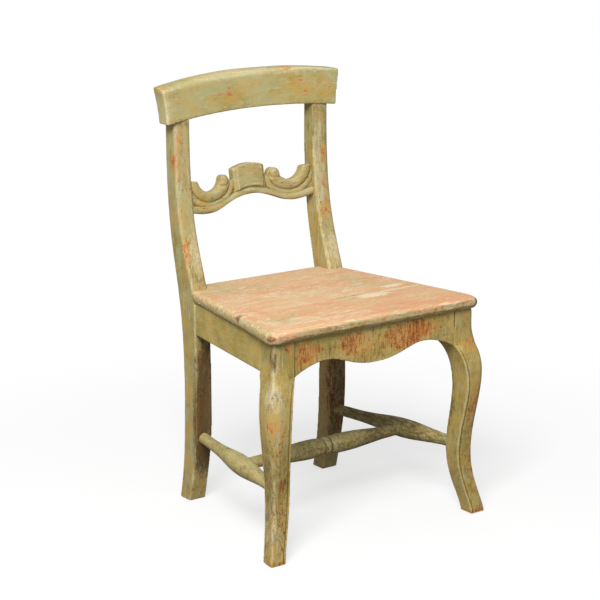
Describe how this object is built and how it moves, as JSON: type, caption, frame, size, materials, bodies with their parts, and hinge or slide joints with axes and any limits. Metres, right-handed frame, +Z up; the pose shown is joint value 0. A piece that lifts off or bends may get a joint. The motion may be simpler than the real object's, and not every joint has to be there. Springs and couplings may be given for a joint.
{
  "type": "painted wooden side chair",
  "caption": "Painted wooden side chair with a plank seat, curved front legs, raked back with an arched rail and a carved scroll splat, and turned stretchers.",
  "frame": {"origin": "on the floor, under the middle of the chair's bounding box", "axes": "+Z up; the chair faces -Y; +X to the right of someone who looks at its front"},
  "size_m": [0.525, 0.4786, 0.8665],
  "materials": {
    "green_paint": "worn olive green paint over a salmon undercoat",
    "seat_paint": "green paint worn through to a salmon undercoat",
    "bare_wood": "bare softwood, darkened with age"
  },
  "bodies": {
    "root": {"rear_post_left": "green_paint", "rear_post_right": "green_paint", "front_leg_left": "green_paint", "front_leg_right": "green_paint", "crest_rail": "green_paint", "carved_splat": "green_paint", "front_apron": "green_paint", "rear_apron": "green_paint", "side_apron_left": "green_paint", "side_apron_right": "green_paint", "seat_board_front": "seat_paint", "seat_board_rear": "seat_paint", "side_stretcher_left": "green_paint", "side_stretcher_right": "green_paint", "cross_stretcher": "green_paint", "corner_block_front_left": "bare_wood", "corner_block_front_right": "bare_wood", "corner_block_rear_left": "bare_wood", "corner_block_rear_right": "bare_wood", "seat_joint_dowels": "bare_wood", "crest_rail_pegs": "green_paint", "splat_pegs": "green_paint", "front_leg_pegs": "green_paint", "rear_post_pegs": "green_paint", "seat_pegs": "seat_paint"}
  },
  "joints": []
}
